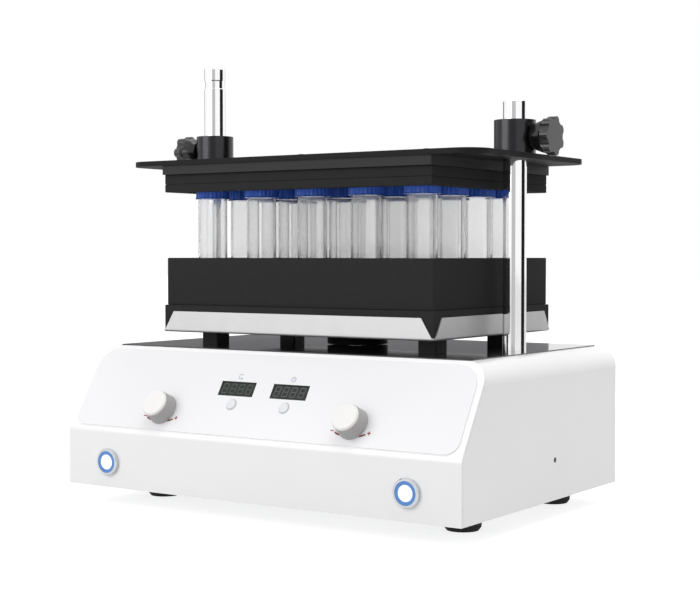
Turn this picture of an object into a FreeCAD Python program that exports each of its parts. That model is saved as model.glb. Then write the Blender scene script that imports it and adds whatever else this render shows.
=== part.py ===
import FreeCAD, Part
import math
import os

# Multi-tube vortex mixer for 20 capped 50 ml tubes.
# Millimetres, +Z up, bench at z = 0, housing centred on x = 0 and y = 0, operator at -Y.

V = FreeCAD.Vector
Z = V(0, 0, 1)

# Housing
body_w = 450.0
body_d = 310.0
body_h = 136.0
front_h = 56.0
slope_back = 49.0
bend_r = 20.0
crease_r = 10.0
sheet_t = 2.0
front_t = 2.5
seam = 0.3
deck_t = 1.0
deck_margin = 0.8
deck_rear_margin = 3.0
flange_w = 16.0
rear_inset = 2.5

# Feet and housing screws
foot_h = 19.2
foot_r = 17.6
foot_top_r = 16.0
foot_inset = 49.0
foot_front_inset = 88.0
foot_rear_inset = 41.3
foot_screw_r = 2.5
screw_gap = 0.1
base_screw_inset = 11.0
base_screw_front = 8.5
base_screw_rear = 45.5
screw_r = 2.0
side_screw_y = 19.5
side_screw_h = 37.5
side_screw_r = 1.5
side_head_r = 2.5
side_head_t = 1.3

# Chassis inside the housing
chassis_t = 6.0
chassis_gap = 1.0
chassis_d = 210.0
bracket_t = 3.0
bracket_d = 180.0
bracket_inset = 18.0
bracket_nut_gap = 2.1
bracket_boss_r = 6.0

# Guide rods
rod_r = 11.2
rod_inset = 44.0
rod_y = 21.5
left_rod_h = 430.2
right_rod_h = 372.0
rod_end_r = 5.0
neck_r = 10.3
neck_low_h = 404.5
neck_top_h = 414.0
spigot_r = 8.0
nut_h = 9.0
nut_flat = 24.0
nut_gap = 0.05
rod_gap = 0.05

# Drive
drive_y = 24.5
orbit_r = 2.0
fit = 0.05
journal_r = 10.0
pin_r = 6.0
stub_r = 8.0
bearing_r = 21.0
bearing_h = 11.6
bearing_housing_r = 25.0
bearing_flange_r = 35.0
bearing_flange_t = 5.0
shaft_hole_r = 13.0
counterweight_r = 34.0
counterweight_h = 10.0
coupling_r = 14.0
coupling_h = 24.0
motor_r = 40.0
motor_h = 50.0
motor_flange = 84.0
motor_flange_t = 5.0
motor_drop = 61.0
motor_shaft_r = 5.0
standoff_r = 4.0
standoff_pitch = 68.0

# Tray under the tubes
tray_gap = 13.6
hub_r = 30.5
hub_gap = 1.2
tray_bearing_r = 16.0
tray_bearing_h = 10.0
hub_lip_r = 9.0
pan_t = 1.2
pan_h = 20.6
pan_bend_r = 2.5
flange_inset_low = 3.0
flange_inset_top = 14.0
foam_gap = 0.3
rack_inset = 69.5
rack_d = 223.6
rack_h = 47.2
foam_step = 2.0
foam_base_h = 25.7
foam_corner_r = 1.5
post_w = 20.0
post_corner_r = 1.5
post_gap = 0.3
post_inset = 30.0
post_reach_y = 66.0

# Tubes
columns = 5
rows = 4
tube_inset = 31.5
row_pitch = 52.4
tube_r = 14.5
tube_l = 115.0
tube_seat = 41.7
tube_cone_h = 14.0
tube_tip_r = 3.5
cap_r = 17.25
cap_h = 14.0
pocket_gap = 0.3

# Pressure plate
pad_gap = 0.3
pad_recess = 6.0
pad_rim = 12.0
pad_side = 0.5
pad_d = 225.6
pad_h = 15.7
frame_side = 2.5
frame_d = 231.4
frame_h = 9.0
block_corner_r = 2.0
plate_end = 23.5
plate_d = 229.0
plate_t = 5.0
plate_corner_r = 24.0
plate_rod_gap = 0.4
plate_screw_inset = 18.0
plate_screw_pitch_y = 190.0

# Rod collars and clamp knobs
collar_r = 19.7
collar_h = 32.0
clamp_h = 15.8
clamp_screw_r = 4.0
clamp_tip_gap = 0.1
clamp_out = 42.0
clamp_t = 14.0
clamp_lobes = 7
clamp_r = 18.6
lobe_r = 4.8
hub_knob_r = 8.5
hub_knob_gap = 0.5
clamp_core_r = 15.4
clamp_back_r = 9.5
clamp_back_t = 7.0

# Control face, measured up the slope from the crease
overlay_t = 0.8
overlay_inset = 6.0
overlay_low = 4.5
overlay_h = 85.5
overlay_low_r = 13.0
overlay_top_r = 22.0
control_mid_x = -2.6
display_x = 30.6
display_up = 53.0
display_w = 41.0
display_h = 15.2
display_gap = 0.2
lens_sink = 0.2
module_t = 8.0
module_rim = 2.2
dial_x = 110.2
dial_up = 26.0
dial_base_r = 14.4
dial_face_r = 13.3
dial_h = 15.5
dial_edge_r = 1.2
dial_gap = 0.6
dial_cavity_r = 6.5
dial_cavity_h = 5.0
dial_shaft_r = 3.0
bush_r = 4.5
bush_out = 4.5
encoder_w = 16.0
button_up = 36.6
button_r = 4.8
button_gap = 0.1
button_out = 1.8
button_flange_r = 6.2
button_flange_t = 1.0
button_travel = 0.8
tact_w = 6.0
board_w = 260.0
board_h = 62.0
board_up = 44.0
board_t = 1.6

# Ring-light switches on the upright lower face
switch_inset = 53.0
switch_h = 25.2
bezel_r = 13.2
bezel_out = 3.8
bezel_edge = 1.0
barrel_r = 10.8
barrel_l = 26.0
barrel_gap = 0.1
ring_out_r = 10.6
ring_in_r = 7.5
ring_t = 1.8
ring_sink = 0.2
switch_button_r = 7.3
switch_button_l = 11.0
switch_button_out = 3.5
switch_travel = 1.8
switch_nut_r = 13.4
switch_nut_t = 3.0
switch_back_t = 4.0

# Rear panel and power supply
inlet_inset = 75.0
inlet_h = 46.0
inlet_w = 28.0
inlet_tall = 20.0
inlet_wall = 2.0
inlet_deep = 17.0
inlet_flange_w = 50.0
inlet_flange_h = 26.0
inlet_flange_t = 3.0
pin_w = 2.0
pin_tall = 4.0
pin_spread = 7.0
vent_count = 7
vent_w = 60.0
vent_slot = 3.0
vent_pitch = 9.0
vent_x = (20.0, 110.0)
vent_low_h = 40.0
supply_w = 100.0
supply_d = 70.0
supply_h = 38.0
supply_inset = 113.0
supply_rear_inset = 60.0

# Clear space left around pieces that move
move_gap = 0.3

# Levels and faces that follow from the sizes above
z_floor = foot_h
z_crease = z_floor + front_h
z_top = z_floor + body_h
z_deck = z_top + deck_t
z_tray = z_deck + tray_gap
z_foam = z_tray + pan_t
z_rack = z_foam + foam_base_h
z_rack_top = z_rack + rack_h
z_tube = z_rack_top - tube_seat
z_cap_top = z_tube + tube_l
z_cap = z_cap_top - cap_h
z_pad = z_cap_top + pad_gap - pad_recess
z_frame = z_pad + pad_h
z_plate = z_frame + frame_h
z_plate_top = z_plate + plate_t
z_collar_top = z_plate_top + collar_h
z_clamp = z_plate_top + clamp_h
z_chassis_top = z_top - sheet_t
z_chassis = z_chassis_top - chassis_t
z_hub = z_deck + hub_gap
board_top = -front_t - module_t
ring_low = bezel_out - ring_sink - ring_t
x_side = body_w / 2
y_front = -body_d / 2
y_rear = body_d / 2
foot_x = x_side - foot_inset
foot_front_y = y_front + foot_front_inset
foot_rear_y = y_rear - foot_rear_inset
chassis_w = body_w - 2 * (bend_r + chassis_gap)
bracket_x = x_side - bracket_inset
bracket_front_y = side_screw_y - bracket_d / 2
bracket_rear_y = side_screw_y + bracket_d / 2
base_screw_x = x_side - base_screw_inset
base_screw_y = (bracket_front_y + base_screw_front, bracket_rear_y - base_screw_rear)
rod_x = x_side - rod_inset
switch_x = x_side - switch_inset
inlet_x = inlet_inset - x_side
supply_x = supply_inset - x_side
supply_y = y_rear - supply_rear_inset
y_slope_top = y_front + slope_back
slope = math.atan2(body_h - front_h, slope_back)
y_tray = drive_y + orbit_r
rack_w = body_w - 2 * rack_inset
column_pitch = (rack_w - 2 * tube_inset) / (columns - 1)
pad_w = rack_w + 2 * pad_side
frame_w = rack_w + 2 * frame_side
plate_w = 2 * (rod_x + plate_end)
plate_screw_pitch_x = frame_w / 2 - plate_screw_inset
pan_w = rack_w + 2 * (foam_step + foam_gap + pan_t)
pan_d = rack_d + 2 * (foam_step + foam_gap + pan_t)
post_x = pan_w / 2 - post_inset
tube_columns = [(i - (columns - 1) / 2) * column_pitch for i in range(columns)]
tube_rows = [y_tray + (j - (rows - 1) / 2) * row_pitch for j in range(rows)]
sides = {"left": -1, "right": 1}
control_x = [control_mid_x + side * display_x for side in sides.values()]
dials_x = {name: control_mid_x + side * dial_x for name, side in sides.items()}

# What passes beyond a face by this much cuts it cleanly
through = 5.0


def box(x0, x1, y0, y1, z0, z1):
    return Part.makeBox(x1 - x0, y1 - y0, z1 - z0, V(x0, y0, z0))


def upright(x, y, z0, z1, r):
    return Part.makeCylinder(r, z1 - z0, V(x, y, z0))


def pipe(x, y, z0, z1, r_out, r_in):
    return upright(x, y, z0, z1, r_out).cut(upright(x, y, z0 - 1, z1 + 1, r_in))


def rounded_wire(points, radii):
    """A closed outline whose corners are arcs of the given radii, or sharp where that is 0."""
    count = len(points)
    stretches = []
    for i, (corner, r) in enumerate(zip(points, radii)):
        if r == 0:
            stretches.append((corner, None, corner))
            continue
        back = (points[i - 1] - corner).normalize()
        ahead = (points[(i + 1) % count] - corner).normalize()
        half = back.getAngle(ahead) / 2
        reach = r / math.tan(half)
        inward = (back + ahead).normalize()
        middle = corner + inward * (r / math.sin(half) - r)
        stretches.append((corner + back * reach, middle, corner + ahead * reach))
    edges = []
    for i, (start, middle, end) in enumerate(stretches):
        if middle is not None:
            edges.append(Part.Arc(start, middle, end).toShape())
        following = stretches[(i + 1) % count][0]
        if end.distanceToPoint(following) > 1e-6:
            edges.append(Part.LineSegment(end, following).toShape())
    return Part.Wire(edges)


def prism(points, radii, along):
    return Part.Face(rounded_wire(points, radii)).extrude(along)


def slab(x, y, w, d, r, z0, z1):
    corners = [(-1, -1), (1, -1), (1, 1), (-1, 1)]
    points = [V(x + i * w / 2, y + j * d / 2, z0) for i, j in corners]
    return prism(points, [r] * 4, V(0, 0, z1 - z0))


def turned(points, x, y):
    """A solid turned about the upright axis at x, y from (radius, height) points."""
    outline = Part.makePolygon([V(r, 0, z) for r, z in points + points[:1]])
    solid = Part.Face(outline).revolve(V(0, 0, 0), Z, 360)
    return solid.translated(V(x, y, 0))


def union(shapes):
    first, rest = shapes[0], shapes[1:]
    return first.fuse(rest).removeSplitter() if rest else first


def group(shapes):
    return Part.makeCompound(shapes)


def screw(x, y, z, head_r, head_h, shank_r, length):
    """A pan head screw seen from above: the head stands on z and the shank goes down."""
    return union([upright(x, y, z, z + head_h, head_r), upright(x, y, z - length, z, shank_r)])


def on_slope(shape):
    """Puts a shape drawn flat (x, up the slope, outwards) on the sloped control face."""
    turn = FreeCAD.Rotation(V(1, 0, 0), math.degrees(slope))
    placed = shape.copy()
    placed.Placement = FreeCAD.Placement(V(0, y_front, z_crease), turn).multiply(shape.Placement)
    return placed


def on_front(shape, x, z):
    """Puts a shape drawn about the z axis on the upright lower face, its z axis outwards."""
    turn = FreeCAD.Rotation(V(1, 0, 0), 90)
    placed = shape.copy()
    placed.Placement = FreeCAD.Placement(V(x, y_front, z), turn).multiply(shape.Placement)
    return placed


# Housing

def arch(inset, y0, y1, z_low):
    """The housing's outline seen from the front, drawn in by inset, from y0 to y1."""
    x = x_side - inset
    top = z_top - inset
    r = bend_r - inset
    points = [V(-x, y0, z_low), V(x, y0, z_low), V(x, y0, top), V(-x, y0, top)]
    return prism(points, [0, 0, r, r], V(0, y1 - y0, 0))


def side_outline(inset, y_back, z_low, z_high):
    """The housing seen from the side, its front and slope drawn in by inset."""
    y = y_front + inset
    rise = inset * (1 - math.sin(slope)) / math.cos(slope)
    crease = z_crease - rise
    top_y = y + (z_high - crease) / math.tan(slope)
    x = -x_side - through
    points = [V(x, y, z_low), V(x, y, crease), V(x, top_y, z_high)]
    points += [V(x, y_back, z_high), V(x, y_back, z_low)]
    return prism(points, [0, crease_r - inset, 0, 0, 0], V(body_w + 2 * through, 0, 0))


def rod_holes(r, z0, z1):
    return [upright(side * rod_x, rod_y, z0, z1, r) for side in sides.values()]


def deck_holes(z0, z1):
    holes = rod_holes(rod_r + 2 * rod_gap, z0, z1)
    holes.append(upright(0, drive_y, z0, z1, shaft_hole_r))
    return holes


def into_side(side, x0, x1, r):
    """A cylinder on a side screw's line, from x0 in to x1 from the middle."""
    place = V(side * x0, side_screw_y, z_floor + side_screw_h)
    return Part.makeCylinder(r, x0 - x1, place, V(-side, 0, 0))


def make_side_screws():
    """The flush screws through the cover's sides into the brackets."""
    shapes = []
    for side in sides.values():
        head = into_side(side, x_side, x_side - side_head_t, side_head_r)
        shank = into_side(side, x_side - side_head_t, bracket_x - bracket_t, side_screw_r)
        shapes.append(union([head, shank]))
    return group(shapes)


def side_screw_space(side):
    """What a side screw's hole and head recess take from the cover and the bracket."""
    head = into_side(side, x_side + 1, x_side - side_head_t, side_head_r + screw_gap)
    return head.fuse(into_side(side, x_side, bracket_x - bracket_t - 1, side_screw_r + screw_gap))


def make_top_cover():
    shell = arch(0, y_front, y_rear, z_floor)
    shell = shell.cut(arch(sheet_t, y_front - through, y_rear + through, z_floor - through))
    body = side_outline(front_t + seam, y_rear, z_floor, z_top + through)
    shell = shell.common(body)
    inner = x_side - sheet_t / 2
    low = z_floor + sheet_t
    for side in sides.values():
        edge = sorted((side * inner, side * (inner - flange_w)))
        shell = shell.fuse(box(*edge, bracket_front_y, bracket_rear_y, low, low + sheet_t))
    holes = deck_holes(z_top - through, z_top + through)
    holes += [side_screw_space(side) for side in sides.values()]
    holes += base_screw_holes(low - 1, low + sheet_t + 1)
    return shell.cut(holes).removeSplitter()


def switch_places():
    return {name: (side * switch_x, z_floor + switch_h) for name, side in sides.items()}


def make_front_panel():
    plate = arch(0, y_front, y_slope_top + through, z_floor)
    plate = plate.common(side_outline(0, y_rear, z_floor, z_top + through))
    plate = plate.cut(side_outline(front_t, y_rear + through, z_floor - through, z_top + 2 * through))
    holes = [on_front(upright(0, 0, -through, through, barrel_r + barrel_gap), x, z)
             for x, z in switch_places().values()]
    holes += control_holes(-front_t - 1, 1)
    return plate.cut(holes)


def control_holes(low, high):
    """The openings of the control face, from low to high along its outward normal."""
    tools = []
    for x in control_x:
        tools.append(box(x - display_w / 2, x + display_w / 2, display_up - display_h / 2,
                         display_up + display_h / 2, low, high))
    for x in control_x:
        tools.append(upright(x, button_up, low, high, button_r + button_gap))
    for x in dials_x.values():
        tools.append(upright(x, dial_up, low, high, bush_r + rod_gap))
    return [on_slope(tool) for tool in tools]


def make_control_overlay():
    low, top, x = overlay_low, overlay_low + overlay_h, x_side - overlay_inset
    points = [V(-x, low, 0), V(x, low, 0), V(x, top, 0), V(-x, top, 0)]
    radii = [overlay_low_r, overlay_low_r, overlay_top_r, overlay_top_r]
    sheet = on_slope(prism(points, radii, V(0, 0, overlay_t)))
    return sheet.cut(control_holes(-1, overlay_t + 1))


def make_deck_panel():
    front = y_slope_top + front_t / math.sin(slope) + seam + deck_margin
    rear = y_rear - deck_rear_margin
    w = body_w - 2 * (bend_r + deck_margin)
    sheet = slab(0, (front + rear) / 2, w, rear - front, 3, z_top, z_deck)
    return sheet.cut(deck_holes(z_top - through, z_deck + through))


def base_screw_holes(z0, z1):
    return [upright(side * base_screw_x, y, z0, z1, screw_r + screw_gap)
            for side in sides.values() for y in base_screw_y]


def foot_places():
    return [(side * foot_x, y) for side in sides.values() for y in (foot_front_y, foot_rear_y)]


def make_base_plate():
    x = x_side - sheet_t - screw_gap
    plate = box(-x, x, y_front + front_t, y_rear - rear_inset, z_floor, z_floor + sheet_t)
    holes = base_screw_holes(z_floor - 1, z_floor + 2 * sheet_t)
    holes += [upright(i, j, z_floor - 1, z_floor + 2 * sheet_t, foot_screw_r + screw_gap)
              for i, j in foot_places()]
    for i in range(vent_count):
        y = drive_y + (i - (vent_count - 1) / 2) * vent_pitch
        holes.append(box(-vent_w / 2, vent_w / 2, y - vent_slot / 2, y + vent_slot / 2,
                         z_floor - 1, z_floor + 2 * sheet_t))
    return plate.cut(holes)


def vent_slots():
    slots = []
    for x in vent_x:
        for i in range(vent_count):
            z = z_floor + vent_low_h + i * vent_pitch
            slots.append(box(x - vent_w / 2, x + vent_w / 2, y_rear - through, y_rear + through,
                             z - vent_slot / 2, z + vent_slot / 2))
    return slots


def make_rear_panel():
    gap = sheet_t + screw_gap
    panel = arch(gap, y_rear - rear_inset, y_rear - rear_inset + sheet_t, z_floor)
    hole = box(inlet_x - inlet_w / 2 - screw_gap, inlet_x + inlet_w / 2 + screw_gap,
               y_rear - through, y_rear + through, z_floor + inlet_h - inlet_tall / 2 - screw_gap,
               z_floor + inlet_h + inlet_tall / 2 + screw_gap)
    return panel.cut(vent_slots() + [hole])


def make_mains_inlet():
    x, z = inlet_x, z_floor + inlet_h
    face = y_rear - rear_inset + sheet_t
    mouth = face + inlet_flange_t
    flange = box(x - inlet_flange_w / 2, x + inlet_flange_w / 2, face, mouth,
                 z - inlet_flange_h / 2, z + inlet_flange_h / 2)
    shell = box(x - inlet_w / 2, x + inlet_w / 2, mouth - inlet_deep - inlet_wall, mouth,
                z - inlet_tall / 2, z + inlet_tall / 2)
    w, h = inlet_w / 2 - inlet_wall, inlet_tall / 2 - inlet_wall
    socket = box(x - w, x + w, mouth - inlet_deep, mouth + 1, z - h, z + h)
    body = flange.fuse(shell).cut(socket)
    for dx, dz in ((-pin_spread, -pin_w), (0, pin_w), (pin_spread, -pin_w)):
        pin = box(x + dx - pin_w / 2, x + dx + pin_w / 2, mouth - inlet_deep - inlet_wall / 2,
                  mouth - pin_w, z + dz - pin_tall / 2, z + dz + pin_tall / 2)
        body = body.fuse(pin)
    return body.removeSplitter()


def make_feet():
    bore = foot_screw_r + screw_gap
    seat = 2 * foot_screw_r + 1
    deep = 8.0
    points = [(seat, 0), (foot_r - 3, 0), (foot_r - 0.6, 3.2), (foot_r, 8), (foot_top_r, foot_h),
              (bore, foot_h), (bore, deep), (seat, deep)]
    return group([turned(points, x, y) for x, y in foot_places()])


def make_foot_screws():
    deep = 8.0
    head_h = 3.5
    top = foot_h + sheet_t + 6
    shapes = []
    for x, y in foot_places():
        head = upright(x, y, deep - head_h, deep, 2 * foot_screw_r)
        shapes.append(union([head, upright(x, y, deep, top, foot_screw_r)]))
    return group(shapes)


def make_base_screws():
    shapes = []
    for side in sides.values():
        for y in base_screw_y:
            x = side * base_screw_x
            head = upright(x, y, z_floor - screw_r, z_floor, 2 * screw_r)
            shank = upright(x, y, z_floor, z_floor + 3 * sheet_t + bracket_t, screw_r)
            shapes.append(union([head, shank]))
    return group(shapes)


# Chassis and rods

def make_side_brackets():
    """Upright webs, each with a foot on the cover's lip and a head under the chassis plate."""
    low = z_floor + 2 * sheet_t
    y0, y1 = bracket_front_y, bracket_rear_y
    web_out = bracket_x + bracket_t
    head_in = rod_x + nut_flat / math.sqrt(3) + bracket_nut_gap
    wall = x_side - sheet_t
    shapes = []
    for side in sides.values():
        web = box(*sorted((side * bracket_x, side * web_out)), y0, y1, low, z_chassis)
        foot = box(*sorted((side * bracket_x, side * (wall - 1))), y0, y1, low, low + bracket_t)
        head = box(*sorted((side * web_out, side * head_in)), y0, y1,
                   z_chassis - bracket_t, z_chassis)
        boss = into_side(side, wall, web_out - 1, bracket_boss_r)
        holes = [side_screw_space(side)] + base_screw_holes(low - 1, low + bracket_t + 1)
        shapes.append(union([web, foot, head, boss]).cut(holes))
    return group(shapes)


def make_chassis_plate():
    plate = slab(0, side_screw_y, chassis_w, chassis_d, 6, z_chassis, z_chassis_top)
    holes = rod_holes(spigot_r + rod_gap, z_chassis - 1, z_chassis_top + 1)
    holes.append(upright(0, drive_y, z_chassis - 1, z_chassis_top + 1, shaft_hole_r))
    return plate.cut(holes)


def rod_profile(height):
    top = z_floor + height
    low = z_chassis - nut_h - 2
    corner = rod_end_r * (1 - math.sqrt(0.5))
    points = [(0, low), (spigot_r, low), (spigot_r, z_chassis_top), (rod_r, z_chassis_top)]
    ends = [(rod_r, top - rod_end_r), (rod_r - corner, top - corner), (rod_r - rod_end_r, top)]
    return points, ends, top


def make_left_rod():
    points, ends, top = rod_profile(left_rod_h)
    low, high = z_floor + neck_low_h, z_floor + neck_top_h
    slant = rod_r - neck_r
    points += [(rod_r, low), (neck_r, low + slant), (neck_r, high - slant), (rod_r, high)]
    edges = [Part.makePolygon([V(r, 0, z) for r, z in points + ends[:1]])]
    edges.append(Part.Arc(*[V(r, 0, z) for r, z in ends]).toShape())
    edges.append(Part.makePolygon([V(ends[-1][0], 0, top), V(0, 0, top), V(0, 0, points[0][1])]))
    outline = Part.Wire([e for part in edges for e in part.Edges])
    solid = Part.Face(outline).revolve(V(0, 0, 0), Z, 360)
    return solid.translated(V(-rod_x, rod_y, 0))


def make_right_rod():
    points, _, top = rod_profile(right_rod_h)
    points += [(rod_r, top - 0.6), (rod_r - 0.6, top), (0, top)]
    return turned(points, rod_x, rod_y)


def hexagon(x, y, flat, z0, z1):
    r = flat / math.sqrt(3)
    angles = [math.radians(60 * k + 30) for k in range(6)]
    points = [V(x + r * math.cos(a), y + r * math.sin(a), z0) for a in angles]
    return prism(points, [0] * 6, V(0, 0, z1 - z0))


def make_rod_nuts():
    shapes = []
    for side in sides.values():
        nut = hexagon(side * rod_x, rod_y, nut_flat, z_chassis - nut_h, z_chassis)
        bore = upright(side * rod_x, rod_y, z_chassis - nut_h - 1, z_chassis + 1, spigot_r + nut_gap)
        shapes.append(nut.cut(bore))
    return group(shapes)


def post_places():
    return [(side * post_x, drive_y + end * post_reach_y)
            for side in sides.values() for end in (-1, 1)]


def make_glide_posts():
    return group([slab(x, y, post_w, post_w, post_corner_r, z_deck, z_tray - post_gap)
                  for x, y in post_places()])


# Drive

def motor_levels():
    flange_top = z_chassis - motor_drop
    return flange_top - motor_flange_t - motor_h, flange_top - motor_flange_t, flange_top


def standoff_places():
    reach = standoff_pitch / 2
    return [(i * reach, drive_y + j * reach) for i in (-1, 1) for j in (-1, 1)]


def make_drive_motor():
    low, shoulder, top = motor_levels()
    can = upright(0, drive_y, low, shoulder, motor_r)
    flange = slab(0, drive_y, motor_flange, motor_flange, 6, shoulder, top)
    boss = upright(0, drive_y, top, top + 2, coupling_r)
    body = union([can, flange, boss])
    return body.cut(upright(0, drive_y, low + motor_h / 2, top + 3, motor_shaft_r + fit))


def make_motor_standoffs():
    top = motor_levels()[2]
    return group([upright(x, y, top, z_chassis, standoff_r) for x, y in standoff_places()])


def make_bearing_housing():
    low = z_chassis - bearing_flange_t - bearing_h
    body = upright(0, drive_y, low, z_chassis, bearing_housing_r)
    flange = upright(0, drive_y, z_chassis - bearing_flange_t, z_chassis, bearing_flange_r)
    seat = upright(0, drive_y, z_chassis - bearing_flange_t - bearing_h + 1,
                   z_chassis - bearing_flange_t + 1, bearing_r)
    bore = upright(0, drive_y, low - 1, z_chassis + 1, shaft_hole_r)
    return body.fuse(flange).cut([seat, bore]).removeSplitter()


def make_main_bearing():
    low = z_chassis - bearing_flange_t - bearing_h + 1
    return pipe(0, drive_y, low, low + bearing_h, bearing_r - fit, journal_r + fit)


def coupling_levels():
    top = z_chassis - bearing_flange_t - bearing_h - counterweight_h - 4
    return top - coupling_h, top


def make_drive_shaft():
    low, high = coupling_levels()
    stub = upright(0, drive_y, (low + high) / 2, high + 1, stub_r)
    journal = upright(0, drive_y, high + 1, z_hub - hub_gap / 2, journal_r)
    pin = upright(0, y_tray, z_hub - hub_gap / 2, z_tray - 1, pin_r)
    return union([stub, journal, pin])


def make_motor_shaft():
    low, high = coupling_levels()
    start = motor_levels()[0] + motor_h / 2 + 1
    return upright(0, drive_y, start, (low + high) / 2 - 0.2, motor_shaft_r)


def make_shaft_coupling():
    low, high = coupling_levels()
    middle = (low + high) / 2
    body = upright(0, drive_y, low, high, coupling_r)
    upper = upright(0, drive_y, middle, high + 1, stub_r + fit)
    lower = upright(0, drive_y, low - 1, middle + 1, motor_shaft_r + fit)
    return body.cut([upper, lower])


def make_counterweight():
    low = coupling_levels()[1] + 2
    high = low + counterweight_h
    disc = upright(0, drive_y, low, high, counterweight_r)
    half = box(-counterweight_r, counterweight_r, drive_y - 2 * counterweight_r, drive_y, low, high)
    body = disc.common(half).fuse(upright(0, drive_y, low, high, journal_r + 5))
    return body.cut(upright(0, drive_y, low - 1, high + 1, journal_r + fit)).removeSplitter()


# Tray

def make_drive_hub():
    body = upright(0, y_tray, z_hub, z_tray, hub_r)
    seat = upright(0, y_tray, z_tray - 1 - tray_bearing_h, z_tray + 1, tray_bearing_r)
    return body.cut([seat, upright(0, y_tray, z_hub - 1, z_tray, hub_lip_r)])


def make_tray_bearing():
    high = z_tray - 1
    return pipe(0, y_tray, high - tray_bearing_h, high, tray_bearing_r - fit, pin_r + fit)


def flange_ends(half_length, z0, z1, wall, place):
    """What is cut off the two ends of a pan wall, so that it narrows upwards."""
    tools = []
    for end in (-1, 1):
        out = end * (half_length + through)
        low = end * (half_length - flange_inset_low)
        high = end * (half_length - flange_inset_top)
        points = [(out, z0), (low, z0), (high, z1), (high, z1 + 1), (out, z1 + 1)]
        tools.append(prism([place(a, b) for a, b in points], [0] * len(points), wall))
    return tools


def make_tray_pan():
    low, top = z_tray, z_tray + pan_h
    shell = slab(0, y_tray, pan_w, pan_d, pan_bend_r, low, top)
    bottom = [e for e in shell.Edges if e.BoundBox.ZMax < low + 1e-4]
    shell = shell.makeFillet(pan_bend_r - 0.1, bottom)
    x, y = pan_w / 2 - pan_t, pan_d / 2 - pan_t
    shell = shell.cut(slab(0, y_tray, 2 * x, 2 * y, pan_bend_r - pan_t, low + pan_t, top + 1))
    notches = []
    for side in (-1, 1):
        wall_y = y_tray + side * (y + pan_t / 2)
        wall = V(0, side * (pan_t / 2 + 1), 0)
        notches += flange_ends(pan_w / 2, low + pan_bend_r, top, wall * 2,
                               lambda a, b, w=wall_y - wall.y: V(a, w, b))
        wall_x = side * (x + pan_t / 2)
        wall = V(side * (pan_t / 2 + 1), 0, 0)
        notches += flange_ends(pan_d / 2, low + pan_bend_r, top, wall * 2,
                               lambda a, b, w=wall_x - wall.x: V(w, y_tray + a, b))
    return shell.cut(notches)


def make_foam_base():
    w, d = rack_w + 2 * foam_step, rack_d + 2 * foam_step
    return slab(0, y_tray, w, d, foam_corner_r, z_foam, z_rack)


def make_foam_rack():
    block = slab(0, y_tray, rack_w, rack_d, foam_corner_r, z_rack, z_rack_top)
    pockets = [upright(x, y, z_tube, z_rack_top + 1, tube_r + pocket_gap)
               for x in tube_columns for y in tube_rows]
    return block.cut(pockets)


def make_tubes(ys):
    points = [(0, z_tube), (tube_tip_r, z_tube), (tube_r, z_tube + tube_cone_h), (tube_r, z_cap),
              (0, z_cap)]
    return group([turned(points, x, y) for x in tube_columns for y in ys])


def make_caps(ys):
    return group([upright(x, y, z_cap, z_cap_top, cap_r) for x in tube_columns for y in ys])


# Pressure plate

def make_foam_pad():
    block = slab(0, drive_y, pad_w, pad_d, block_corner_r, z_pad, z_frame)
    w, d = pad_w - 2 * pad_rim, pad_d - 2 * pad_rim
    return block.cut(slab(0, drive_y, w, d, pad_rim / 2, z_pad - 1, z_pad + pad_recess))


def make_pad_frame():
    block = slab(0, drive_y, frame_w, frame_d, block_corner_r, z_frame, z_plate)
    return block.cut(plate_screw_holes())


def plate_screw_places():
    return [(i * plate_screw_pitch_x, drive_y + j * plate_screw_pitch_y / 2)
            for i in (-1, 0, 1) for j in (-1, 1)]


def plate_screw_holes():
    return [upright(x, y, z_plate - 7, z_plate_top + 1, screw_r + screw_gap)
            for x, y in plate_screw_places()]


def make_plate_screws():
    return group([screw(x, y, z_plate_top, 2 * screw_r, screw_r, screw_r, plate_t + 6)
                  for x, y in plate_screw_places()])


def make_top_plate():
    plate = slab(0, rod_y, plate_w, plate_d, plate_corner_r, z_plate, z_plate_top)
    return plate.cut(rod_holes(rod_r + plate_rod_gap, z_plate - 1, z_plate_top + 1)
                     + plate_screw_holes())


def along_x(side, x0, x1, r):
    """A cylinder on a clamp screw's line, from x0 to x1 out from the middle."""
    return Part.makeCylinder(r, x1 - x0, V(side * x0, rod_y, z_clamp), V(side, 0, 0))


def make_rod_collars():
    shapes = []
    for side in sides.values():
        ring = pipe(side * rod_x, rod_y, z_plate_top, z_collar_top, collar_r, rod_r + rod_gap)
        shapes.append(ring.cut(along_x(side, rod_x, rod_x + collar_r + 1, clamp_screw_r + fit)))
    return group(shapes)


def make_clamp(side):
    """A lobed knob, narrowed behind, moulded on its clamp screw, whose tip faces the rod."""
    outer = rod_x + clamp_out
    inner = outer - clamp_t
    reach = clamp_r - lobe_r
    lobes = [along_x(side, inner, outer, clamp_core_r)]
    for k in range(clamp_lobes):
        a = 2 * math.pi * (k + 0.5) / clamp_lobes
        place = V(side * inner, rod_y + reach * math.cos(a), z_clamp + reach * math.sin(a))
        lobes.append(Part.makeCylinder(lobe_r, clamp_t, place, V(side, 0, 0)))
    start = V(side * inner, rod_y, z_clamp)
    back = Part.makeCone(clamp_back_r, clamp_r + move_gap, clamp_back_t, start, V(side, 0, 0))
    room = back.fuse(along_x(side, inner + clamp_back_t, outer, clamp_r + move_gap))
    knob = union(lobes).common(room)
    neck = along_x(side, rod_x + collar_r + hub_knob_gap, inner + 1, hub_knob_r)
    shank = along_x(side, rod_x + rod_r + clamp_tip_gap, inner + 1, clamp_screw_r)
    return union([knob, neck, shank])


# Control face

def make_control_board():
    return on_slope(box(-board_w / 2, board_w / 2, board_up - board_h / 2, board_up + board_h / 2,
                        board_top - board_t, board_top))


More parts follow.
